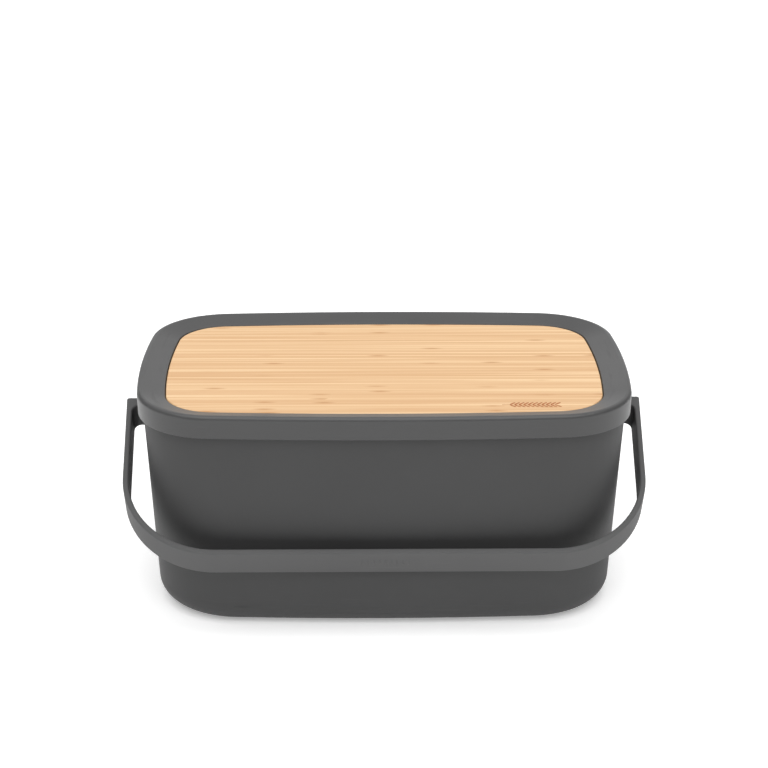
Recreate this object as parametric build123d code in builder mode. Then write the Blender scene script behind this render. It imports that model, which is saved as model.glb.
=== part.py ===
from build123d import *
import os
from math import acos, atan, atan2, cos, degrees, hypot, radians, sin, sqrt

# Bread bin with a lift-off lid, a wooden board let into the lid and a bail handle.
# Origin: centre of the footprint, on the surface that the bin stands on.
# +X runs along the length, the front is towards -Y, +Z is up. Millimetres.

# Lid
lid_length = 370.0
lid_depth = 240.0
lid_corner = 59.0
end_bow = 665.0
side_bow = 2048.0
bin_height = 170.2
crest_width = 4.0
crest_edge = 2.6
dish_drop = 4.2
lip_edge = 0.7
lid_plate = 2.4
skirt_height = 17.0
skirt_draft = 0.6
skirt_wall = 2.2
skirt_edge = 0.8
rib_wall = 1.8
rib_depth = 10.0
rib_clearance = 0.9

# Board let into the lid
board_border = 21.3
board_gap = 0.6
board_step = 0.1
board_thickness = 12.0
board_edge = 1.0
pocket_wall = 2.2
ledge_width = 9.0
ledge_thickness = 2.5

# Board screws
screw_radius = 1.6
screw_head_radius = 3.5
screw_head_height = 2.0
screw_grip = 8.0
screw_hole_clearance = 0.3
long_side_screw_spacing = 100.0

# Tub
rim_inset = 3.5
tub_taper = 8.7
rim_corner = 59.5
base_corner = 64.0
tub_wall = 2.8
tub_floor = 3.0
base_edge = 17.0
rim_edge = 0.8
rim_below_crest = 3.6

# Foot pads
pad_radius = 9.0
pad_thickness = 1.2
pad_chamfer = 0.3
pad_spacing_x = 240.0
pad_spacing_y = 130.0
pad_clearance = 0.2

# Handle
pivot_height = 129.3
strap_width = 25.4
strap_thickness = 4.4
strap_edge = 1.6
handle_lid_gap = 9.3
leg_gap = 12.5
leg_lean = 0.0265
handle_corner = 66.5
hub_half_length = 4.0
hub_fillet = 5.5
hub_corner = 1.8
rest_gap = 0.4

# Handle pivots
pin_radius = 3.5
pin_running_clearance = 0.05
pin_head_radius = 7.5
pin_head_height = 2.2
pin_head_gap = 0.3
pin_grip = 9.0
seat_radius = 12.0
seat_stand = 2.2
inner_seat_stand = 1.6
washer_radius = 9.0
washer_thickness = 1.0
washer_bore_clearance = 0.1
hub_washer_gap = 0.1

# Heights worked out from the sizes above, from the base upwards
rim_height = bin_height - rim_below_crest
skirt_bottom = bin_height - skirt_height
lip_height = bin_height - dish_drop
height_slack = 0.01
board_top = lip_height - board_step
board_bottom = board_top - board_thickness
ledge_bottom = board_bottom - ledge_thickness
rib_bottom = rim_height - rib_depth

# Insets from the lid's outline
pocket_inset = board_border - board_gap
pocket_outer = pocket_inset - pocket_wall
ledge_inner = pocket_inset + ledge_width
rib_inner = rim_inset + tub_wall + rib_clearance + rib_wall


def share(height):
    """Part of the way down from the tub's rim to its base."""
    return (rim_height - height) / rim_height


def tub_half_length(height):
    return lid_length / 2 - rim_inset - tub_taper * share(height)


def tub_half_depth(height):
    return lid_depth / 2 - rim_inset - tub_taper * share(height)


def bowed_rectangle(half_x, half_y, corner, inset=0.0):
    """Rectangle with bowed sides and round corners, each arc tangent to the next."""
    side_radius = side_bow - inset
    end_radius = end_bow - inset
    corner_radius = corner - inset
    side_y = half_y - inset - side_radius
    end_x = half_x - inset - end_radius
    # The corner arc's centre lies where the two circles it rolls inside meet.
    to_side = side_radius - corner_radius
    to_end = end_radius - corner_radius
    apart = hypot(end_x, side_y)
    along = (to_side**2 - to_end**2 + apart**2) / (2 * apart)
    across = sqrt(to_side**2 - along**2)
    unit_x = end_x / apart
    unit_y = -side_y / apart
    corner_x = unit_x * along + unit_y * across
    corner_y = side_y + unit_y * along - unit_x * across
    end_angle = degrees(atan2(corner_y, corner_x - end_x))
    side_angle = degrees(atan2(corner_y - side_y, corner_x))
    turn = side_angle - end_angle
    with BuildLine() as outline:
        CenterArc((end_x, 0), end_radius, -end_angle, 2 * end_angle)
        CenterArc((corner_x, corner_y), corner_radius, end_angle, turn)
        CenterArc((0, side_y), side_radius, side_angle, 180 - 2 * side_angle)
        CenterArc((-corner_x, corner_y), corner_radius, 180 - side_angle, turn)
        CenterArc((-end_x, 0), end_radius, 180 - end_angle, 2 * end_angle)
        CenterArc((-corner_x, -corner_y), corner_radius, 180 + end_angle, turn)
        CenterArc((0, -side_y), side_radius, 180 + side_angle, 180 - 2 * side_angle)
        CenterArc((corner_x, -corner_y), corner_radius, -side_angle, turn)
    make_face(outline.edges())


def lid_outline(inset=0.0):
    bowed_rectangle(lid_length / 2, lid_depth / 2, lid_corner, inset)


def tub_outline(height, inset=0.0):
    corner = rim_corner + (base_corner - rim_corner) * share(height)
    bowed_rectangle(tub_half_length(height), tub_half_depth(height), corner, inset)


def rib_outline(inset=0.0):
    tub_outline(rim_height, tub_wall + rib_clearance + inset)


def write(part, name):
    part.label = name
    export_step(part, f"parts/{name}.step")


os.makedirs("parts", exist_ok=True)

# Tub: one tapered shell, round at the base edge, with a flat seat at each pivot.
seat_face = tub_half_length(pivot_height) + seat_stand
inner_seat_face = tub_half_length(pivot_height) - tub_wall - inner_seat_stand

with BuildPart() as hollow:
    with BuildSketch(Plane.XY.offset(tub_floor)):
        tub_outline(tub_floor, tub_wall)
    with BuildSketch(Plane.XY.offset(bin_height)):
        tub_outline(bin_height, tub_wall)
    loft(ruled=True)
    fillet(hollow.edges().group_by(Axis.Z)[0], base_edge - tub_wall)
    for side in (-1, 1):
        with BuildSketch(Plane.YZ.offset(side * inner_seat_face)):
            with Locations((0, pivot_height)):
                Circle(seat_radius)
        extrude(amount=side * (seat_face - inner_seat_face), mode=Mode.SUBTRACT)

with BuildPart() as tub:
    with BuildSketch():
        tub_outline(0)
    with BuildSketch(Plane.XY.offset(rim_height)):
        tub_outline(rim_height)
    loft(ruled=True)
    fillet(tub.edges().group_by(Axis.Z)[0], base_edge)
    for side in (-1, 1):
        with BuildSketch(Plane.YZ.offset(side * seat_face)):
            with Locations((0, pivot_height)):
                Circle(seat_radius)
        extrude(amount=-side * (seat_stand + tub_wall))
    add(hollow.part, mode=Mode.SUBTRACT)
    fillet(tub.edges().group_by(Axis.Z)[-1], rim_edge)
    for side in (-1, 1):
        with BuildSketch(Plane.YZ.offset(side * seat_face)):
            with Locations((0, pivot_height)):
                Circle(pin_radius + pin_running_clearance)
        extrude(amount=-side * (seat_face - inner_seat_face), mode=Mode.SUBTRACT)
    with BuildSketch():
        with GridLocations(pad_spacing_x, pad_spacing_y, 2, 2):
            Circle(pad_radius + pad_clearance)
    extrude(amount=pad_thickness, mode=Mode.SUBTRACT)
write(tub.part, "tub")

# Foot pads: soft discs set into the tub's base, level with it.
pad_places = GridLocations(pad_spacing_x, pad_spacing_y, 2, 2)
pad_names = ("front_left", "back_left", "front_right", "back_right")
for place, corner_name in zip(pad_places, pad_names):
    with BuildPart() as foot_pad:
        with BuildSketch():
            with Locations((place.position.X, place.position.Y)):
                Circle(pad_radius)
        extrude(amount=pad_thickness)
        chamfer(foot_pad.edges().group_by(Axis.Z)[0], pad_chamfer)
    write(foot_pad.part, f"foot_pad_{corner_name}")

# Screw places, halfway across the ledge: three on each long side and one at each end.
screw_inset = pocket_inset + ledge_width / 2
screw_side_y = lid_depth / 2 - screw_inset
screw_side_sag = side_bow - sqrt(side_bow**2 - long_side_screw_spacing**2)
screw_places = [(side * (lid_length / 2 - screw_inset), 0) for side in (-1, 1)]
for side in (-1, 1):
    screw_places.append((0, side * screw_side_y))
    for step in (-1, 1):
        screw_places.append((step * long_side_screw_spacing, side * (screw_side_y - screw_side_sag)))

# Lid frame: dished ring with a skirt outside the tub's rim and a rib inside it.
channel_slope = dish_drop / (pocket_inset - crest_width)
channel_roof = bin_height - lid_plate - channel_slope * (rib_inner - crest_width)
channel_roof_inner = bin_height - lid_plate - channel_slope * (pocket_outer - crest_width)

with BuildPart() as channel:
    with BuildSketch(Plane.XY.offset(skirt_bottom)):
        rib_outline(rib_wall)
    extrude(amount=channel_roof - skirt_bottom)
    with BuildSketch(Plane.XY.offset(channel_roof_inner)):
        lid_outline(pocket_outer)
    with BuildSketch(Plane.XY.offset(channel_roof)):
        rib_outline(rib_wall)
    loft(ruled=True, mode=Mode.SUBTRACT)
    with BuildSketch(Plane.XY.offset(skirt_bottom)):
        lid_outline(pocket_outer)
    extrude(amount=channel_roof - skirt_bottom, mode=Mode.SUBTRACT)

with BuildPart() as dish:
    with BuildSketch(Plane.XY.offset(lip_height)):
        lid_outline(pocket_inset)
    with BuildSketch(Plane.XY.offset(bin_height)):
        lid_outline(crest_width)
    loft(ruled=True)

with BuildPart() as lid_frame:
    with BuildSketch(Plane.XY.offset(skirt_bottom)):
        lid_outline(skirt_draft)
    with BuildSketch(Plane.XY.offset(bin_height)):
        lid_outline()
    loft(ruled=True)
    fillet(lid_frame.edges().group_by(Axis.Z)[-1], crest_edge)
    fillet(lid_frame.edges().group_by(Axis.Z)[0], skirt_edge)
    add(dish.part, mode=Mode.SUBTRACT)
    add(channel.part, mode=Mode.SUBTRACT)
    with BuildSketch(Plane.XY.offset(skirt_bottom)):
        lid_outline(skirt_draft + skirt_wall)
        with BuildSketch(mode=Mode.SUBTRACT):
            rib_outline()
    extrude(amount=rim_height - skirt_bottom, mode=Mode.SUBTRACT)
    with BuildSketch(Plane.XY.offset(skirt_bottom)):
        rib_outline()
        with BuildSketch(mode=Mode.SUBTRACT):
            rib_outline(rib_wall)
    extrude(amount=rib_bottom - skirt_bottom, mode=Mode.SUBTRACT)
    with BuildSketch(Plane.XY.offset(ledge_bottom)):
        lid_outline(pocket_outer)
    extrude(amount=skirt_bottom - ledge_bottom)
    with BuildSketch(Plane.XY.offset(board_bottom)):
        lid_outline(pocket_inset)
    extrude(amount=dish_drop + board_step + board_thickness, mode=Mode.SUBTRACT)
    lip = lid_frame.edges().filter_by_position(Axis.Z, lip_height - height_slack, lip_height + height_slack)
    fillet(lip, lip_edge)
    with BuildSketch(Plane.XY.offset(ledge_bottom)):
        lid_outline(ledge_inner)
    extrude(amount=bin_height - ledge_bottom, mode=Mode.SUBTRACT)
    with BuildSketch(Plane.XY.offset(ledge_bottom)):
        with Locations(screw_places):
            Circle(screw_radius + screw_hole_clearance)
    extrude(amount=ledge_thickness, mode=Mode.SUBTRACT)
write(lid_frame.part, "lid_frame")

# Board: solid laminated wood, resting on the frame's ledge.
with BuildPart() as board:
    with BuildSketch(Plane.XY.offset(board_bottom)):
        lid_outline(board_border)
    extrude(amount=board_thickness)
    fillet(board.edges().group_by(Axis.Z)[-1], board_edge)
    with BuildSketch(Plane.XY.offset(board_bottom)):
        with Locations(screw_places):
            Circle(screw_radius)
    extrude(amount=screw_grip, mode=Mode.SUBTRACT)
write(board.part, "board")

# Board screws: round heads under the ledge, shanks up into the board.
with BuildPart() as board_screws:
    with BuildSketch(Plane.XY.offset(ledge_bottom - screw_head_height)):
        with Locations(screw_places):
            Circle(screw_head_radius)
    extrude(amount=screw_head_height)
    fillet(board_screws.edges().group_by(Axis.Z)[0], screw_head_height / 2)
    with BuildSketch(Plane.XY.offset(ledge_bottom)):
        with Locations(screw_places):
            Circle(screw_radius)
    extrude(amount=ledge_thickness + screw_grip)
write(board_screws.part, "board_screws")

# Handle: its reach clears the lid's long top edge, and it hangs until the strap's lower
# inner edge rests by the tub's front wall.
handle_reach = hypot(lid_depth / 2, bin_height - pivot_height) + handle_lid_gap
edge_reach = hypot(handle_reach, strap_width / 2)
edge_turn = degrees(atan(strap_width / 2 / handle_reach))
wall_slope = tub_taper / rim_height
wall_lean = degrees(atan(wall_slope))
wall_reach = (tub_half_depth(pivot_height) + rest_gap) / hypot(1, wall_slope)
rest_angle = wall_lean + degrees(acos(wall_reach / edge_reach)) - edge_turn
rest_direction = radians(rest_angle)
handle_plane = Plane(
    origin=(0, 0, pivot_height),
    x_dir=(1, 0, 0),
    z_dir=(0, sin(rest_direction), -cos(rest_direction)),
)
washer_face = seat_face + washer_thickness
hub_face = washer_face + hub_washer_gap
leg_inner = tub_half_length(pivot_height) + leg_gap
leg_outer = leg_inner + strap_thickness
outer_reach = handle_reach + strap_thickness

with BuildPart() as handle:
    with BuildSketch(handle_plane) as strap:
        with BuildLine():
            Polyline(
                (leg_outer + leg_lean * hub_half_length, -hub_half_length),
                (leg_outer - leg_lean * outer_reach, outer_reach),
                (-leg_outer + leg_lean * outer_reach, outer_reach),
                (-leg_outer - leg_lean * hub_half_length, -hub_half_length),
                close=True,
            )
        make_face()
        fillet(strap.vertices().group_by(Axis.Y)[-1], handle_corner + strap_thickness)
        fillet(strap.vertices().group_by(Axis.Y)[0], hub_corner)
        with BuildSketch(mode=Mode.SUBTRACT) as inside:
            with BuildLine():
                Polyline(
                    (leg_inner - leg_lean * hub_half_length, hub_half_length),
                    (leg_inner - leg_lean * handle_reach, handle_reach),
                    (-leg_inner + leg_lean * handle_reach, handle_reach),
                    (-leg_inner + leg_lean * hub_half_length, hub_half_length),
                    close=True,
                )
            make_face()
            fillet(inside.vertices().group_by(Axis.Y)[-1], handle_corner)
            fillet(inside.vertices().group_by(Axis.Y)[0], hub_fillet)
        Rectangle(2 * hub_face, 2 * (hub_half_length + hub_fillet), mode=Mode.SUBTRACT)
    extrude(amount=strap_width / 2, both=True)
    across_strap = Axis(handle_plane.origin, handle_plane.z_dir)
    fillet(handle.edges().group_by(across_strap)[-1], strap_edge)
    fillet(handle.edges().group_by(across_strap)[0], strap_edge)
    for side in (-1, 1):
        with BuildSketch(Plane.YZ.offset(side * hub_face)):
            with Locations((0, pivot_height)):
                Circle(pin_radius)
        extrude(amount=side * pin_grip, mode=Mode.SUBTRACT)
write(handle.part, "handle")

# Pivot pins and washers: each pin's head is inside the tub and its shank is fixed in the handle.
for side, side_name in ((-1, "left"), (1, "right")):
    head_face = inner_seat_face - pin_head_gap
    with BuildPart() as pivot_pin:
        with BuildSketch(Plane.YZ.offset(side * (head_face - pin_head_height))):
            with Locations((0, pivot_height)):
                Circle(pin_head_radius)
        extrude(amount=side * pin_head_height)
        inner_edge = pivot_pin.edges().group_by(Axis.X)[0 if side > 0 else -1]
        fillet(inner_edge, pin_head_height / 2)
        with BuildSketch(Plane.YZ.offset(side * head_face)):
            with Locations((0, pivot_height)):
                Circle(pin_radius)
        extrude(amount=side * (hub_face + pin_grip - head_face))
    write(pivot_pin.part, f"pivot_pin_{side_name}")

    with BuildPart() as washer:
        with BuildSketch(Plane.YZ.offset(side * seat_face)):
            with Locations((0, pivot_height)):
                Circle(washer_radius)
                Circle(pin_radius + washer_bore_clearance, mode=Mode.SUBTRACT)
        extrude(amount=side * washer_thickness)
    write(washer.part, f"pivot_washer_{side_name}")

print(f"rest angle {rest_angle:.3f} degrees below level, handle reach {handle_reach:.2f}")
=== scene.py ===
import bpy
import bmesh
import math
from mathutils import Matrix, Vector


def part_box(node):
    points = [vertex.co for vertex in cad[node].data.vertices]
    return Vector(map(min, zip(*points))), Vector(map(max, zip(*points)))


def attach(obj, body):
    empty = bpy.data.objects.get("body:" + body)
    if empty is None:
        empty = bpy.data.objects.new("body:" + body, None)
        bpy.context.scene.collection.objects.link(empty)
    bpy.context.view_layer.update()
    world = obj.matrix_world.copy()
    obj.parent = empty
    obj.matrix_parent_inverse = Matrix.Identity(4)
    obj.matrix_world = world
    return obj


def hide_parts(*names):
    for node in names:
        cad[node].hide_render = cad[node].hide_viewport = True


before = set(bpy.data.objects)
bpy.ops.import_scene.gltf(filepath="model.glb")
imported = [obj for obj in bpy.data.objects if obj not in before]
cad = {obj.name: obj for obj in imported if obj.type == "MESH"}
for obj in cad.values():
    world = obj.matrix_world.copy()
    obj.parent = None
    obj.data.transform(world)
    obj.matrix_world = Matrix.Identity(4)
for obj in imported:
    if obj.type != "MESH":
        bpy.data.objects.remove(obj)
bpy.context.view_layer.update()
print("frame loaded")

# the view: where the camera stands and what it looks at
view = {
    "lens": 92.95,  # mm
    "sensor": 36.0,  # mm across
    "reach": 60.0,  # how far off things are still drawn
    "distance": 1.5212,
    "lookDown": 20.66,  # degrees
    "turn": 0.827,
    "tilt": 0.116,
    "aimSide": 0.0004,
    "aimHeight": 0.1513,
}


def makeCamera():
    down = math.radians(view["lookDown"])
    turn = math.radians(view["turn"])
    tilt = math.radians(view["tilt"])
    ahead = Vector((math.sin(turn) * math.cos(down), math.cos(turn) * math.cos(down), -math.sin(down)))
    level = Vector((math.cos(turn), -math.sin(turn), 0.0))
    upward = level.cross(ahead)
    right = math.cos(tilt) * level + math.sin(tilt) * upward
    above = math.cos(tilt) * upward - math.sin(tilt) * level
    data = bpy.data.cameras.new("camera")
    data.lens = view["lens"]
    data.sensor_width = view["sensor"]
    data.clip_end = view["reach"]
    camera = bpy.data.objects.new("camera", data)
    bpy.context.scene.collection.objects.link(camera)
    aim = Vector((view["aimSide"], 0.0, view["aimHeight"]))
    turned = Matrix((right, above, -ahead)).transposed().to_4x4()
    camera.matrix_world = Matrix.Translation(aim - ahead * view["distance"]) @ turned
    bpy.context.scene.camera = camera


makeCamera()


# puts a node in a tree: settings are its options, inputs are links or plain values
def addNode(tree, kind, inputs=None, **settings):
    node = tree.nodes.new(kind)
    for key, value in settings.items():
        setattr(node, key, value)
    for key, value in (inputs or {}).items():
        if isinstance(value, bpy.types.NodeSocket):
            tree.links.new(value, node.inputs[key])
        else:
            node.inputs[key].default_value = value
    return node


def mathNode(tree, operation, first, second=0.0):
    return addNode(tree, "ShaderNodeMath", {0: first, 1: second}, operation=operation).outputs[0]


def remap(tree, value, low, high, toLow, toHigh):
    return addNode(tree, "ShaderNodeMapRange", {
        "Value": value, "From Min": low, "From Max": high,
        "To Min": toLow, "To Max": toHigh}).outputs["Result"]


# the studio: white floor, a pale sky that dims towards the horizon and the two sides, a bright wall
# behind, and one broad soft light above
studio = {
    "floorSize": 40.0,
    "floorDrop": 0.0002,  # keeps the floor just clear of the feet
    "floorWhite": 0.92,
    "floorGlow": 0.33,
    "floorRough": 0.9,
    "floorSpecular": 0.1,
    "skyTop": 0.80,
    "skyHorizon": 0.12,
    "skyFull": 0.9,  # how high up, as a share of straight up, the sky is at its brightest
    "sideDim": 0.75,  # how much darker the sky is straight to the left and right
    "backGlow": 0.75,
    "backFrom": 0.82,  # how near to straight behind, as a share, the bright wall begins
    "sunPower": 2.2,
    "sunWidth": 75.0,  # degrees across, so shadows are soft
    "sunTilt": 12.0,  # degrees from straight overhead, towards the front
}


def makeStudio():
    scene = bpy.context.scene
    scene.view_settings.view_transform = "Standard"
    world = bpy.data.worlds.new("surround")
    scene.world = world
    world.use_nodes = True
    tree = world.node_tree
    direction = addNode(tree, "ShaderNodeTexCoord").outputs["Generated"]
    apart = addNode(tree, "ShaderNodeSeparateXYZ", {"Vector": direction}).outputs
    sky = remap(tree, apart["Z"], 0.0, studio["skyFull"], studio["skyHorizon"], studio["skyTop"])
    sideways = mathNode(tree, "MULTIPLY", apart["X"], apart["X"])
    aside = remap(tree, sideways, 0.0, 1.0, 1.0, 1.0 - studio["sideDim"])
    behind = remap(tree, apart["Y"], studio["backFrom"], 1.0, 0.0, studio["backGlow"])
    strength = mathNode(tree, "ADD", mathNode(tree, "MULTIPLY", sky, aside), behind)
    # the backdrop itself is plain white, whatever light it gives
    seen = addNode(tree, "ShaderNodeLightPath").outputs["Is Camera Ray"]
    strength = mathNode(tree, "MAXIMUM", strength, seen)
    tree.links.new(strength, tree.nodes["Background"].inputs["Strength"])
    tree.nodes["Background"].inputs["Color"].default_value = (1, 1, 1, 1)
    half, low = studio["floorSize"] / 2, -studio["floorDrop"]
    corners = [(-half, -half, low), (half, -half, low), (half, half, low), (-half, half, low)]
    mesh = bpy.data.meshes.new("floor")
    mesh.from_pydata(corners, [], [(0, 1, 2, 3)])
    floor = bpy.data.objects.new("floor", mesh)
    scene.collection.objects.link(floor)
    white = bpy.data.materials.new("floorWhite")
    white.use_nodes = True
    shader = white.node_tree.nodes["Principled BSDF"]
    pale = studio["floorWhite"]
    shader.inputs["Base Color"].default_value = (pale, pale, pale, 1)
    shader.inputs["Roughness"].default_value = studio["floorRough"]
    shader.inputs["Specular IOR Level"].default_value = studio["floorSpecular"]
    shader.inputs["Emission Color"].default_value = (1, 1, 1, 1)
    shader.inputs["Emission Strength"].default_value = studio["floorGlow"]
    # clear from below, so that the underside can be looked at
    links, nodes = white.node_tree.links, white.node_tree.nodes
    under = addNode(white.node_tree, "ShaderNodeNewGeometry").outputs["Backfacing"]
    clear = addNode(white.node_tree, "ShaderNodeBsdfTransparent").outputs["BSDF"]
    either = addNode(white.node_tree, "ShaderNodeMixShader", {
        "Fac": under, 1: shader.outputs["BSDF"], 2: clear})
    links.new(either.outputs["Shader"], nodes["Material Output"].inputs["Surface"])
    mesh.materials.append(white)
    data = bpy.data.lights.new("softLight", "SUN")
    data.energy = studio["sunPower"]
    data.angle = math.radians(studio["sunWidth"])
    light = bpy.data.objects.new("softLight", data)
    light.rotation_euler = (math.radians(studio["sunTilt"]), 0.0, 0.0)
    scene.collection.objects.link(light)


makeStudio()
print("camera and studio ready")


def newMaterial(name):
    material = bpy.data.materials.new(name)
    material.use_nodes = True
    tree = material.node_tree
    place = addNode(tree, "ShaderNodeTexCoord").outputs["Object"]
    return material, tree, tree.nodes["Principled BSDF"], place


def tint(colour, share):
    return tuple(min(1.0, c * share) for c in colour) + (1.0,)


# mixes two colours, or two links, by a factor link
def mixColour(tree, factor, first, second):
    mix = tree.nodes.new("ShaderNodeMix")
    mix.data_type = "RGBA"
    tree.links.new(factor, mix.inputs[0])
    for socket, value in ((mix.inputs[6], first), (mix.inputs[7], second)):
        if isinstance(value, bpy.types.NodeSocket):
            tree.links.new(value, socket)
        else:
            socket.default_value = value
    return mix.outputs[2]


# moulded plastic: a fine eroded grain, a slow drift of tone and gloss, and faint scuffs where it is rubbed
plastic = {
    "tub": {"colour": (0.0705, 0.0705, 0.0709), "gloss": 0.55, "specular": 0.16,
            "scuffFrom": 0.030, "scuffTo": 0.004, "scuffAxis": "Z"},
    "lid": {"colour": (0.0640, 0.0640, 0.0644), "gloss": 0.38, "specular": 0.42,
            "scuffFrom": 0.1535, "scuffTo": 0.1705, "scuffAxis": "Z"},
    "handle": {"colour": (0.1080, 0.1080, 0.1084), "gloss": 0.55, "specular": 0.12,
               "scuffFrom": 0.110, "scuffTo": 0.020, "scuffAxis": "X"},
    "washer": {"colour": (0.1000, 0.1000, 0.1000), "gloss": 0.40, "specular": 0.40,
               "scuffFrom": 0.5, "scuffTo": 0.6, "scuffAxis": "Z"},
    "pin": {"colour": (0.0480, 0.0480, 0.0484), "gloss": 0.38, "specular": 0.40,
            "scuffFrom": 0.5, "scuffTo": 0.6, "scuffAxis": "Z"},
}
plasticGrain = {
    "drift": 0.05,  # share of the tone
    "driftScale": 9.0,
    "grainScale": 1300.0,
    "pitScale": 2100.0,
    "depth": 0.00006,
    "strength": 0.35,
    "glossSpread": 0.07,
    "scuffStretch": (26.0, 26.0, 900.0),
    "scuffMost": 0.5,  # share of the scuff colour where the piece is rubbed most
    "scuffLight": 1.35,
    "scuffRough": 0.25,
}


def mouldedPlastic(name, look):
    material, tree, shader, place = newMaterial(name)
    drift = addNode(tree, "ShaderNodeTexNoise", {
        "Vector": place, "Scale": plasticGrain["driftScale"], "Detail": 4.0}).outputs["Fac"]
    spread = remap(tree, drift, 0.3, 0.7, 0.0, 1.0)
    tone = mixColour(tree, spread, tint(look["colour"], 1 - plasticGrain["drift"]),
                     tint(look["colour"], 1 + plasticGrain["drift"]))
    # scuffs: thin scratches lying mostly level, kept to the rubbed end of the piece
    lying = addNode(tree, "ShaderNodeMapping", {
        "Vector": place, "Scale": plasticGrain["scuffStretch"]}).outputs["Vector"]
    streak = addNode(tree, "ShaderNodeTexNoise", {
        "Vector": lying, "Scale": 1.0, "Detail": 3.0}).outputs["Fac"]
    thin = remap(tree, streak, 0.60, 0.72, 0.0, 1.0)
    along = addNode(tree, "ShaderNodeSeparateXYZ", {"Vector": place}).outputs[look["scuffAxis"]]
    along = mathNode(tree, "ABSOLUTE", along)
    rubbed = remap(tree, along, look["scuffFrom"], look["scuffTo"], 0.0, plasticGrain["scuffMost"])
    scuffed = mathNode(tree, "MULTIPLY", thin, rubbed)
    colour = mixColour(tree, scuffed, tone, tint(look["colour"], plasticGrain["scuffLight"]))
    tree.links.new(colour, shader.inputs["Base Color"])
    # grain
    grain = addNode(tree, "ShaderNodeTexNoise", {
        "Vector": place, "Scale": plasticGrain["grainScale"],
        "Detail": 2.0, "Roughness": 0.65}).outputs["Fac"]
    pits = addNode(tree, "ShaderNodeTexVoronoi", {
        "Vector": place, "Scale": plasticGrain["pitScale"]}).outputs["Distance"]
    height = mathNode(tree, "ADD", grain, pits)
    bump = addNode(tree, "ShaderNodeBump", {
        "Height": height, "Strength": plasticGrain["strength"], "Distance": plasticGrain["depth"]})
    tree.links.new(bump.outputs["Normal"], shader.inputs["Normal"])
    dull = remap(tree, drift, 0.3, 0.7, look["gloss"] - plasticGrain["glossSpread"],
                 look["gloss"] + plasticGrain["glossSpread"])
    rough = mathNode(tree, "ADD", dull, mathNode(tree, "MULTIPLY", scuffed, plasticGrain["scuffRough"]))
    tree.links.new(rough, shader.inputs["Roughness"])
    shader.inputs["Specular IOR Level"].default_value = look["specular"]
    return material


# rubber of the feet: darker, dull, with a sandy surface
rubber = {
    "colour": (0.030, 0.030, 0.031),
    "dustLight": 2.2,  # how much paler the dust is
    "dustScale": 160.0,
    "dustMost": 0.6,
    "rough": 0.82,
    "roughSpread": 0.08,
    "sandScale": 1800.0,
    "depth": 0.00008,
    "strength": 0.5,
}


def makeRubber():
    material, tree, shader, place = newMaterial("padRubber")
    sand = addNode(tree, "ShaderNodeTexNoise", {
        "Vector": place, "Scale": rubber["sandScale"], "Detail": 3.0}).outputs["Fac"]
    dust = addNode(tree, "ShaderNodeTexNoise", {
        "Vector": place, "Scale": rubber["dustScale"], "Detail": 5.0}).outputs["Fac"]
    dusty = remap(tree, dust, 0.5, 0.75, 0.0, rubber["dustMost"])
    colour = mixColour(tree, dusty, tint(rubber["colour"], 1.0), tint(rubber["colour"], rubber["dustLight"]))
    tree.links.new(colour, shader.inputs["Base Color"])
    bump = addNode(tree, "ShaderNodeBump", {
        "Height": sand, "Strength": rubber["strength"], "Distance": rubber["depth"]})
    tree.links.new(bump.outputs["Normal"], shader.inputs["Normal"])
    rough = remap(tree, sand, 0.3, 0.7, rubber["rough"] - rubber["roughSpread"],
                  rubber["rough"] + rubber["roughSpread"])
    tree.links.new(rough, shader.inputs["Roughness"])
    return material


# zinc-plated steel: bright, with a brushed drift
steel = {
    "colour": (0.60, 0.60, 0.58),
    "darkest": 0.78,
    "palest": 1.1,
    "roughest": 0.44,
    "smoothest": 0.22,
    "brushStretch": (900.0, 900.0, 4000.0),
    "depth": 0.00003,
    "strength": 0.3,
}


def makeSteel():
    material, tree, shader, place = newMaterial("screwSteel")
    turned = addNode(tree, "ShaderNodeMapping", {
        "Vector": place, "Scale": steel["brushStretch"]}).outputs["Vector"]
    brushed = addNode(tree, "ShaderNodeTexNoise", {
        "Vector": turned, "Scale": 1.0, "Detail": 2.0}).outputs["Fac"]
    colour = mixColour(tree, brushed, tint(steel["colour"], steel["darkest"]),
                       tint(steel["colour"], steel["palest"]))
    tree.links.new(colour, shader.inputs["Base Color"])
    rough = remap(tree, brushed, 0.3, 0.7, steel["smoothest"], steel["roughest"])
    tree.links.new(rough, shader.inputs["Roughness"])
    shader.inputs["Metallic"].default_value = 1.0
    bump = addNode(tree, "ShaderNodeBump", {
        "Height": brushed, "Strength": steel["strength"], "Distance": steel["depth"]})
    tree.links.new(bump.outputs["Normal"], shader.inputs["Normal"])
    return material


# bamboo: narrow strips glued side by side along the board, each with its own tone, fibres and a few nodes
bamboo = {
    "stripWidth": 0.0062,
    "wander": 0.0064,  # how unevenly the strips' widths fall
    "light": (0.850, 0.600, 0.350),
    "pale": (0.792, 0.534, 0.300),
    "mid": (0.752, 0.490, 0.268),
    "dark": (0.700, 0.434, 0.226),
    "fibre": (0.620, 0.350, 0.168),
    "fleck": (0.500, 0.240, 0.095),
    "joint": (0.560, 0.300, 0.136),
    "rough": 0.52,
    "specular": 0.25,
    "fleckLength": 24.0,  # cells per metre along the strip
    "fleckSpan": 105.0,  # cells per metre across it
    "depth": 0.00012,
    "strength": 0.4,
}
# how far each kind of fibre is stretched, per metre along, across and through the board
fibreStretch = {
    "hair": (9.0, 1500.0, 420.0),
    "darkLine": (3.5, 520.0, 160.0),
    "lightLine": (2.2, 310.0, 90.0),
}


def stretched(tree, place, scale, detail):
    lying = addNode(tree, "ShaderNodeMapping", {"Vector": place, "Scale": scale}).outputs["Vector"]
    return addNode(tree, "ShaderNodeTexNoise", {
        "Vector": lying, "Scale": 1.0, "Detail": detail, "Roughness": 0.55}).outputs["Fac"]


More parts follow.
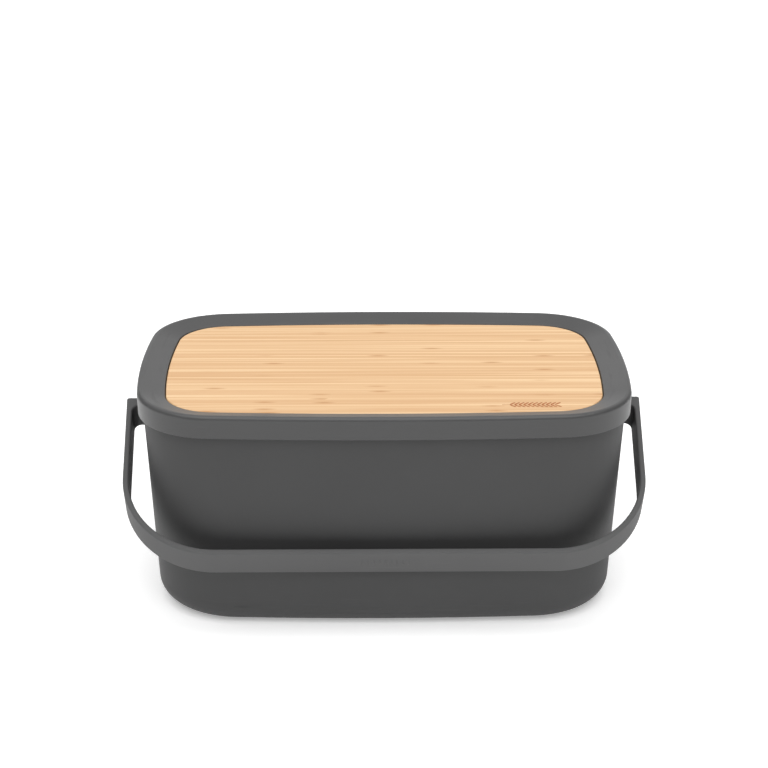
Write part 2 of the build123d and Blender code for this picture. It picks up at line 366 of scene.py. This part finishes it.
def makeBamboo():
    material, tree, shader, place = newMaterial("boardBamboo")
    solid = {key: value + (1.0,) for key, value in bamboo.items() if isinstance(value, tuple)}
    apart = addNode(tree, "ShaderNodeSeparateXYZ", {"Vector": place})
    across = apart.outputs["Y"]
    # strip number, from a coordinate that wanders a little so the widths differ
    sway = addNode(tree, "ShaderNodeTexNoise", {
        "W": across, "Scale": 75.0, "Detail": 1.0}, noise_dimensions="1D").outputs["Fac"]
    shifted = mathNode(tree, "ADD", across, mathNode(tree, "MULTIPLY", sway, bamboo["wander"]))
    counted = mathNode(tree, "DIVIDE", shifted, bamboo["stripWidth"])
    strip = mathNode(tree, "FLOOR", counted)
    inStrip = mathNode(tree, "FRACT", counted)
    chance = addNode(tree, "ShaderNodeTexWhiteNoise", {
        "W": strip}, noise_dimensions="1D").outputs["Value"]
    tone = addNode(tree, "ShaderNodeValToRGB", {"Fac": chance})
    tone.color_ramp.elements[0].color = solid["dark"]
    tone.color_ramp.elements[1].color = solid["pale"]
    tone.color_ramp.elements.new(0.4).color = solid["mid"]
    # long soft shade along each strip, different in every one
    apartStrip = addNode(tree, "ShaderNodeCombineXYZ", {
        "X": mathNode(tree, "MULTIPLY", apart.outputs["X"], 7.0),
        "Y": mathNode(tree, "MULTIPLY", strip, 3.7),
        "Z": mathNode(tree, "MULTIPLY", apart.outputs["Z"], 40.0)}).outputs["Vector"]
    shade = addNode(tree, "ShaderNodeTexNoise", {
        "Vector": apartStrip, "Scale": 1.0, "Detail": 2.0}).outputs["Fac"]
    colour = mixColour(tree, remap(tree, shade, 0.35, 0.70, 0.0, 0.5), tone.outputs["Color"], solid["dark"])
    # fibres: hair-fine, then broader dark and light lines that run most of the board
    hair = stretched(tree, place, fibreStretch["hair"], 3.0)
    darkLine = stretched(tree, place, fibreStretch["darkLine"], 2.0)
    lightLine = stretched(tree, place, fibreStretch["lightLine"], 1.0)
    colour = mixColour(tree, remap(tree, hair, 0.48, 0.75, 0.0, 0.5), colour, solid["fibre"])
    colour = mixColour(tree, remap(tree, darkLine, 0.54, 0.70, 0.0, 0.75), colour, solid["fibre"])
    colour = mixColour(tree, remap(tree, lightLine, 0.52, 0.64, 0.0, 0.9), colour, solid["light"])
    # nodes of the cane: short brown dashes, in a few of the cells
    cells = addNode(tree, "ShaderNodeMapping", {
        "Vector": place, "Scale": (bamboo["fleckLength"], bamboo["fleckSpan"], 1.0)}).outputs["Vector"]
    voronoi = addNode(tree, "ShaderNodeTexVoronoi", {
        "Vector": cells, "Scale": 1.0}, voronoi_dimensions="2D")
    near = remap(tree, voronoi.outputs["Distance"], 0.24, 0.04, 0.0, 1.0)
    pick = addNode(tree, "ShaderNodeSeparateColor", {"Color": voronoi.outputs["Color"]}).outputs["Red"]
    fleck = mathNode(tree, "MULTIPLY", near, remap(tree, pick, 0.78, 0.90, 0.0, 0.7))
    colour = mixColour(tree, fleck, colour, solid["fleck"])
    # glue lines between strips
    offMiddle = mathNode(tree, "ABSOLUTE", mathNode(tree, "SUBTRACT", inStrip, 0.5))
    side = mathNode(tree, "MULTIPLY", offMiddle, 2.0)
    joint = remap(tree, side, 0.93, 1.0, 0.0, 0.5)
    tree.links.new(mixColour(tree, joint, colour, solid["joint"]), shader.inputs["Base Color"])
    relief = mathNode(tree, "SUBTRACT", mathNode(tree, "MULTIPLY", hair, 0.5), joint)
    bump = addNode(tree, "ShaderNodeBump", {
        "Height": relief, "Strength": bamboo["strength"], "Distance": bamboo["depth"]})
    tree.links.new(bump.outputs["Normal"], shader.inputs["Normal"])
    rough = remap(tree, hair, 0.3, 0.7, bamboo["rough"] - 0.06, bamboo["rough"] + 0.08)
    tree.links.new(rough, shader.inputs["Roughness"])
    shader.inputs["Specular IOR Level"].default_value = bamboo["specular"]
    return material


# the brown of the burnt-in mark
burnt = {
    "colour": (0.380, 0.135, 0.040),
    "darkest": 0.7,
    "palest": 1.5,
    "rough": 0.70,
    "charScale": 900.0,
    "depth": 0.00005,
    "strength": 0.3,
}


def makeBurnt():
    material, tree, shader, place = newMaterial("burntMark")
    char = addNode(tree, "ShaderNodeTexNoise", {
        "Vector": place, "Scale": burnt["charScale"], "Detail": 3.0}).outputs["Fac"]
    colour = mixColour(tree, char, tint(burnt["colour"], burnt["darkest"]),
                       tint(burnt["colour"], burnt["palest"]))
    tree.links.new(colour, shader.inputs["Base Color"])
    rough = remap(tree, char, 0.3, 0.7, burnt["rough"] - 0.1, burnt["rough"] + 0.1)
    tree.links.new(rough, shader.inputs["Roughness"])
    bump = addNode(tree, "ShaderNodeBump", {
        "Height": char, "Strength": burnt["strength"], "Distance": burnt["depth"]})
    tree.links.new(bump.outputs["Normal"], shader.inputs["Normal"])
    return material


finish = {name: mouldedPlastic(name + "Plastic", look) for name, look in plastic.items()}
finish["rubber"] = makeRubber()
finish["steel"] = makeSteel()
finish["bamboo"] = makeBamboo()
finish["burnt"] = makeBurnt()
finishOf = {
    "tub": "tub", "lid_frame": "lid", "handle": "handle", "board": "bamboo",
    "board_screws": "steel", "pivot_pin_left": "pin", "pivot_pin_right": "pin",
    "pivot_washer_left": "washer", "pivot_washer_right": "washer",
}
for name, node in cad.items():
    node.data.materials.clear()
    node.data.materials.append(finish[finishOf.get(name, "rubber")])
print("materials ready")


# a turned shape: profile is (radius, height) from the bottom on the axis to the top on the axis
def lathe(name, profile, segments):
    bm = bmesh.new()
    rings = []
    for radius, height in profile:
        if radius < 1e-7:
            rings.append([bm.verts.new((0.0, 0.0, height))])
            continue
        turns = [2 * math.pi * k / segments for k in range(segments)]
        rings.append([bm.verts.new((radius * math.cos(a), radius * math.sin(a), height)) for a in turns])
    for low, high in zip(rings, rings[1:]):
        for k in range(segments):
            n = (k + 1) % segments
            corners = [low[k % len(low)], low[n % len(low)], high[n % len(high)], high[k % len(high)]]
            bm.faces.new(list(dict.fromkeys(corners)))
    bmesh.ops.recalc_face_normals(bm, faces=bm.faces)
    mesh = bpy.data.meshes.new(name)
    bm.to_mesh(mesh)
    bm.free()
    made = bpy.data.objects.new(name, mesh)
    bpy.context.scene.collection.objects.link(made)
    return made


# points for copies, each with the turn that its copy takes
def pointsObject(name, places, turns):
    mesh = bpy.data.meshes.new(name)
    mesh.from_pydata([tuple(p) for p in places], [], [])
    turned = mesh.attributes.new("turn", "FLOAT_VECTOR", "POINT")
    for k, turn in enumerate(turns):
        turned.data[k].vector = turn
    made = bpy.data.objects.new(name, mesh)
    bpy.context.scene.collection.objects.link(made)
    return made


def newTree(name, sockets):
    tree = bpy.data.node_groups.new(name, "GeometryNodeTree")
    tree.interface.new_socket("Geometry", in_out="OUTPUT", socket_type="NodeSocketGeometry")
    tree.interface.new_socket("Geometry", in_out="INPUT", socket_type="NodeSocketGeometry")
    for label, kind in sockets:
        tree.interface.new_socket(label, in_out="INPUT", socket_type="NodeSocket" + kind)
    return tree, tree.nodes.new("NodeGroupInput").outputs


def endTree(tree, geometry, material):
    solid = addNode(tree, "GeometryNodeRealizeInstances", {"Geometry": geometry})
    painted = addNode(tree, "GeometryNodeSetMaterial", {
        "Geometry": solid.outputs["Geometry"], "Material": material})
    tree.links.new(painted.outputs["Geometry"], tree.nodes.new("NodeGroupOutput").inputs["Geometry"])


# runs a tree on a piece, then leaves it as a plain mesh
def runTree(piece, tree, values):
    modifier = piece.modifiers.new("build", "NODES")
    modifier.node_group = tree
    for item in tree.interface.items_tree:
        if item.item_type == "SOCKET" and item.in_out == "INPUT" and item.name in values:
            modifier[item.identifier] = values[item.name]
    bpy.context.view_layer.update()
    shown = piece.evaluated_get(bpy.context.evaluated_depsgraph_get())
    mesh = bpy.data.meshes.new_from_object(shown)
    piece.modifiers.remove(modifier)
    piece.data = mesh
    return piece


def smooth(piece, degrees):
    for polygon in piece.data.polygons:
        polygon.use_smooth = True
    piece.data.set_sharp_from_angle(angle=math.radians(degrees))


# copies of one turned piece with a cross recess cut in its lower end, set at the points
def recessTree():
    tree, given = newTree("setRecessedHeads", [
        ("Head", "Object"), ("Recess Width", "Float"), ("Recess Span", "Float"),
        ("Recess Depth", "Float"), ("Material", "Material")])
    head = addNode(tree, "GeometryNodeObjectInfo", {"Object": given["Head"]}).outputs["Geometry"]
    arms = tree.nodes.new("GeometryNodeJoinGeometry")
    for first, second in (("Recess Span", "Recess Width"), ("Recess Width", "Recess Span")):
        size = addNode(tree, "ShaderNodeCombineXYZ", {
            "X": given[first], "Y": given[second], "Z": given["Recess Depth"]}).outputs["Vector"]
        arm = addNode(tree, "GeometryNodeMeshCube", {"Size": size}).outputs["Mesh"]
        tree.links.new(arm, arms.inputs["Geometry"])
    cut = addNode(tree, "GeometryNodeMeshBoolean", {"Mesh 1": head}, operation="DIFFERENCE")
    tree.links.new(arms.outputs["Geometry"], cut.inputs["Mesh 2"])
    turn = addNode(tree, "GeometryNodeInputNamedAttribute", {
        "Name": "turn"}, data_type="FLOAT_VECTOR").outputs["Attribute"]
    turned = addNode(tree, "FunctionNodeEulerToRotation", {"Euler": turn}).outputs["Rotation"]
    copies = addNode(tree, "GeometryNodeInstanceOnPoints", {
        "Points": given["Geometry"], "Instance": cut.outputs["Mesh"], "Rotation": turned})
    endTree(tree, copies.outputs["Instances"], given["Material"])
    return tree


recessed = recessTree()


# the middles of the separate lumps in a CAD node, from a merged copy of its mesh
def lumpMiddles(node):
    bm = bmesh.new()
    bm.from_mesh(cad[node].data)
    bmesh.ops.remove_doubles(bm, verts=bm.verts, dist=1e-6)
    left, middles = set(bm.verts), []
    while left:
        lump, edge = set(), [min(left, key=lambda v: v.index)]
        while edge:
            vert = edge.pop()
            if vert in lump:
                continue
            lump.add(vert)
            edge += [e.other_vert(vert) for e in vert.link_edges]
        left -= lump
        low = Vector([min(v.co[k] for v in lump) for k in range(3)])
        high = Vector([max(v.co[k] for v in lump) for k in range(3)])
        middles.append(((low.x + high.x) / 2, (low.y + high.y) / 2))
    bm.free()
    return middles


# board screws: pan heads under the ledge with a cross recess, and a threaded shank up into the wood
screw = {
    "headRadius": 0.0035,
    "headHeight": 0.0020,
    "shankRadius": 0.0014,
    "threadRadius": 0.0016,
    "threadPitch": 0.0013,
    "crossWidth": 0.0009,
    "crossSpan": 0.0042,
    "crossDepth": 0.0022,
}


def makeScrews():
    low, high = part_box("board_screws")
    total = high.z - low.z
    radius, tall = screw["headRadius"], screw["headHeight"]
    profile = [(0.0, 0.0), (radius * 0.45, 0.00006), (radius * 0.74, 0.00030), (radius * 0.92, 0.00078),
               (radius, 0.0014), (radius, tall - 0.0001), (radius * 0.98, tall), (screw["shankRadius"], tall)]
    height = tall
    while height + screw["threadPitch"] < total - 0.0012:
        profile += [(screw["shankRadius"], height + 0.25 * screw["threadPitch"]),
                    (screw["threadRadius"], height + 0.5 * screw["threadPitch"]),
                    (screw["shankRadius"], height + 0.75 * screw["threadPitch"])]
        height += screw["threadPitch"]
    profile += [(screw["shankRadius"], total - 0.0010), (0.0, total)]
    head = lathe("screwShape", profile, 24)
    middles = lumpMiddles("board_screws")
    places = [(x, y, low.z) for x, y in middles]
    turns = [(0.0, 0.0, 0.7 * k) for k in range(len(middles))]
    piece = pointsObject("boardScrews", places, turns)
    runTree(piece, recessed, {
        "Head": head, "Recess Width": screw["crossWidth"], "Recess Span": screw["crossSpan"],
        "Recess Depth": screw["crossDepth"], "Material": finish["steel"]})
    smooth(piece, 35)
    bpy.data.objects.remove(head)
    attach(piece, "lid")
    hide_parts("board_screws")


makeScrews()
print("screws ready")

# pivot pins: domed heads inside the tub with a driving cross, and a ringed shank fixed in the handle
pin = {
    "headRadius": 0.0075,
    "headHeight": 0.0022,
    "shankRadius": 0.0035,
    "ringPitch": 0.0016,
    "ringDepth": 0.0002,
    "ringsStart": 0.0105,  # from the head's face, where the shank enters the handle
    "crossWidth": 0.0016,
    "crossSpan": 0.0080,
    "crossDepth": 0.0022,
}


def makePins():
    low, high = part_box("pivot_pin_right")
    total = high.x - low.x
    radius, tall, shank = pin["headRadius"], pin["headHeight"], pin["shankRadius"]
    profile = [(0.0, 0.0), (radius * 0.5, 0.00005), (radius * 0.8, 0.00020), (radius * 0.93, 0.00060),
               (radius * 0.99, 0.0012), (radius, tall - 0.0002), (radius * 0.985, tall), (shank, tall)]
    height = pin["ringsStart"]
    while height + pin["ringPitch"] < total - 0.0012:
        profile += [(shank, height), (shank - pin["ringDepth"], height + 0.2 * pin["ringPitch"]),
                    (shank - pin["ringDepth"], height + 0.5 * pin["ringPitch"]),
                    (shank, height + 0.7 * pin["ringPitch"])]
        height += pin["ringPitch"]
    profile += [(shank, total - 0.0006), (shank * 0.86, total), (0.0, total)]
    shape = lathe("pinShape", profile, 40)
    middle = (low.z + high.z) / 2
    places = [(low.x, 0.0, middle), (-low.x, 0.0, middle)]
    turns = [(0.0, math.pi / 2, 0.0), (0.0, -math.pi / 2, 0.0)]
    piece = pointsObject("pivotPins", places, turns)
    runTree(piece, recessed, {
        "Head": shape, "Recess Width": pin["crossWidth"], "Recess Span": pin["crossSpan"],
        "Recess Depth": pin["crossDepth"], "Material": finish["pin"]})
    smooth(piece, 35)
    bpy.data.objects.remove(shape)
    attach(piece, "handle")
    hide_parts("pivot_pin_left", "pivot_pin_right")


makePins()
print("pivot pins ready")

# foot pads: soft discs, level with the base, with rings on their lower face
pad = {
    "ringCount": 3,
    "ringWidth": 0.0011,
    "grooveDepth": 0.0005,
    "slope": 0.0003,  # how far each side of a ring runs out
    "chamfer": 0.0003,
}


def padTree():
    tree, given = newTree("setPads", [("Pad", "Object"), ("Size", "Float"), ("Material", "Material")])
    shape = addNode(tree, "GeometryNodeObjectInfo", {"Object": given["Pad"]}).outputs["Geometry"]
    size = addNode(tree, "ShaderNodeCombineXYZ", {
        "X": given["Size"], "Y": given["Size"], "Z": given["Size"]}).outputs["Vector"]
    copies = addNode(tree, "GeometryNodeInstanceOnPoints", {
        "Points": given["Geometry"], "Instance": shape, "Scale": size})
    endTree(tree, copies.outputs["Instances"], given["Material"])
    return tree


def makePads():
    names = sorted(name for name in cad if name.startswith("foot_pad"))
    boxes = [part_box(name) for name in names]
    low, high = boxes[0]
    radius, tall = (high.x - low.x) / 2, high.z - low.z
    profile = [(0.0, pad["grooveDepth"])]
    for k in range(pad["ringCount"]):
        middle = radius * (0.34 + 0.26 * k)
        half = pad["ringWidth"] / 2
        profile += [(middle - half - pad["slope"], pad["grooveDepth"]), (middle - half, 0.00005),
                    (middle - half + 0.0001, 0.0), (middle + half - 0.0001, 0.0), (middle + half, 0.00005)]
        if k < pad["ringCount"] - 1:
            profile.append((middle + half + pad["slope"], pad["grooveDepth"]))
    profile += [(radius, pad["chamfer"]), (radius, tall), (0.0, tall)]
    shape = lathe("padShape", profile, 48)
    places = [((a.x + b.x) / 2, (a.y + b.y) / 2, a.z) for a, b in boxes]
    piece = pointsObject("footPads", places, [(0.0, 0.0, 0.0)] * len(places))
    runTree(piece, padTree(), {"Pad": shape, "Size": 1.0, "Material": finish["rubber"]})
    smooth(piece, 40)
    bpy.data.objects.remove(shape)
    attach(piece, "bin")
    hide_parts(*names)


makePads()
print("foot pads ready")

# the burnt-in mark on the board's front right: a plain ear of corn lying along the grain
ear = {
    "fromEnd": 0.0550,  # from the board's end to the middle of the mark
    "fromFront": 0.0165,
    "pairs": 11,
    "pitch": 0.0033,
    "grainLength": 0.0062,
    "grainWidth": 0.0017,
    "lean": 46.0,  # degrees that the grains stand off the stem
    "stemWidth": 0.0006,
    "stemLength": 0.0390,
    "stand": 0.00004,
    "sink": 0.00030,
}


def earTree():
    tree, given = newTree("layEar", [
        ("Pairs", "Int"), ("Pitch", "Float"), ("Grain Length", "Float"), ("Grain Width", "Float"),
        ("Lean", "Float"), ("Stem Width", "Float"), ("Stem Length", "Float"), ("Thickness", "Float"),
        ("Material", "Material")])
    step = addNode(tree, "ShaderNodeCombineXYZ", {"X": given["Pitch"]}).outputs["Vector"]
    row = addNode(tree, "GeometryNodeMeshLine", {
        "Count": given["Pairs"], "Offset": step}, mode="OFFSET").outputs["Mesh"]
    disc = addNode(tree, "GeometryNodeMeshCylinder", {
        "Vertices": 16, "Radius": 0.5, "Depth": given["Thickness"]}).outputs["Mesh"]
    reach = addNode(tree, "ShaderNodeCombineXYZ", {
        "X": mathNode(tree, "MULTIPLY", given["Grain Length"], 0.55)}).outputs["Vector"]
    oval = addNode(tree, "ShaderNodeCombineXYZ", {
        "X": given["Grain Length"], "Y": given["Grain Width"], "Z": 1.0}).outputs["Vector"]
    grain = addNode(tree, "GeometryNodeTransform", {
        "Geometry": disc, "Translation": reach, "Scale": oval}).outputs["Geometry"]
    joined = tree.nodes.new("GeometryNodeJoinGeometry")
    for side in (1.0, -1.0):
        angle = mathNode(tree, "MULTIPLY", given["Lean"], side)
        euler = addNode(tree, "ShaderNodeCombineXYZ", {"Z": angle}).outputs["Vector"]
        turn = addNode(tree, "FunctionNodeEulerToRotation", {"Euler": euler}).outputs["Rotation"]
        copies = addNode(tree, "GeometryNodeInstanceOnPoints", {
            "Points": row, "Instance": grain, "Rotation": turn})
        tree.links.new(copies.outputs["Instances"], joined.inputs["Geometry"])
    stemSize = addNode(tree, "ShaderNodeCombineXYZ", {
        "X": given["Stem Length"], "Y": given["Stem Width"], "Z": given["Thickness"]}).outputs["Vector"]
    stem = addNode(tree, "GeometryNodeMeshCube", {"Size": stemSize}).outputs["Mesh"]
    back = addNode(tree, "ShaderNodeCombineXYZ", {
        "X": mathNode(tree, "MULTIPLY", given["Stem Length"], 0.36)}).outputs["Vector"]
    laid = addNode(tree, "GeometryNodeTransform", {"Geometry": stem, "Translation": back}).outputs["Geometry"]
    tree.links.new(laid, joined.inputs["Geometry"])
    endTree(tree, joined.outputs["Geometry"], given["Material"])
    return tree


def makeMark():
    low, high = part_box("board")
    thick = ear["stand"] + ear["sink"]
    middle = Vector((high.x - ear["fromEnd"], low.y + ear["fromFront"], high.z + ear["stand"] - thick / 2))
    start = middle - Vector((ear["pairs"] * ear["pitch"] / 2, 0.0, 0.0))
    piece = pointsObject("boardMark", [(0.0, 0.0, 0.0)], [(0.0, 0.0, 0.0)])
    runTree(piece, earTree(), {
        "Pairs": ear["pairs"], "Pitch": ear["pitch"], "Grain Length": ear["grainLength"],
        "Grain Width": ear["grainWidth"], "Lean": math.radians(ear["lean"]), "Stem Width": ear["stemWidth"],
        "Stem Length": ear["stemLength"], "Thickness": thick, "Material": finish["burnt"]})
    piece.data.transform(Matrix.Translation(start))
    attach(piece, "lid")


makeMark()
print("board mark ready")

# a short row of low ribs in the middle of the grip's outer face
gripRibs = {
    "count": 9,
    "pitch": 0.0042,
    "length": 0.0060,
    "width": 0.0011,
    "stand": 0.00022,
    "sink": 0.00040,
    "sides": 16,
}


def ribTree():
    tree, given = newTree("layRibs", [
        ("Count", "Int"), ("Pitch", "Float"), ("Rib", "Object"), ("Material", "Material")])
    step = addNode(tree, "ShaderNodeCombineXYZ", {"X": given["Pitch"]}).outputs["Vector"]
    row = addNode(tree, "GeometryNodeMeshLine", {
        "Count": given["Count"], "Offset": step}, mode="OFFSET").outputs["Mesh"]
    rib = addNode(tree, "GeometryNodeObjectInfo", {"Object": given["Rib"]}).outputs["Geometry"]
    copies = addNode(tree, "GeometryNodeInstanceOnPoints", {"Points": row, "Instance": rib})
    endTree(tree, copies.outputs["Instances"], given["Material"])
    return tree


# the middle and the outward direction of the grip's flat outer face
def gripFace():
    normal, middle, area = Vector(), Vector(), 0.0
    for polygon in cad["handle"].data.polygons:
        if abs(polygon.center.x) < 0.09 and polygon.normal.y < -0.8 and polygon.area > 1e-6:
            normal += polygon.normal * polygon.area
            middle += polygon.center * polygon.area
            area += polygon.area
    middle = middle / area
    return Vector((0.0, middle.y, middle.z)), normal.normalized()


def makeGripRibs():
    middle, outward = gripFace()
    half, reach = gripRibs["width"] / 2, (gripRibs["length"] - gripRibs["width"]) / 2
    bm = bmesh.new()
    sink, stand, sides = gripRibs["sink"], gripRibs["stand"], gripRibs["sides"]
    rows = []
    for inset, height in ((0.0, -sink), (0.0, 0.3 * stand), (0.00018, 0.8 * stand), (0.00034, stand)):
        ring = []
        for k in range(sides):
            angle = 2 * math.pi * (k + 0.5) / sides
            end = reach if math.sin(angle) > 0 else -reach
            across, along = (half - inset) * math.cos(angle), end + (half - inset) * math.sin(angle)
            ring.append(bm.verts.new((across, along, height)))
        rows.append(ring)
    for low, high in zip(rows, rows[1:]):
        for k in range(sides):
            n = (k + 1) % sides
            bm.faces.new((low[k], low[n], high[n], high[k]))
    bm.faces.new(rows[-1])
    bm.faces.new(list(reversed(rows[0])))
    bmesh.ops.recalc_face_normals(bm, faces=bm.faces)
    mesh = bpy.data.meshes.new("ribShape")
    bm.to_mesh(mesh)
    bm.free()
    rib = bpy.data.objects.new("ribShape", mesh)
    bpy.context.scene.collection.objects.link(rib)
    piece = pointsObject("gripRibs", [(0.0, 0.0, 0.0)], [(0.0, 0.0, 0.0)])
    runTree(piece, ribTree(), {
        "Count": gripRibs["count"], "Pitch": gripRibs["pitch"], "Rib": rib,
        "Material": finish["handle"]})
    bpy.data.objects.remove(rib)
    side = Vector((1.0, 0.0, 0.0))
    upward = outward.cross(side)
    turned = Matrix((side, upward, outward)).transposed().to_4x4()
    start = middle - side * gripRibs["pitch"] * (gripRibs["count"] - 1) / 2
    piece.data.transform(Matrix.Translation(start) @ turned)
    smooth(piece, 60)
    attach(piece, "handle")


makeGripRibs()
print("grip ribs ready")
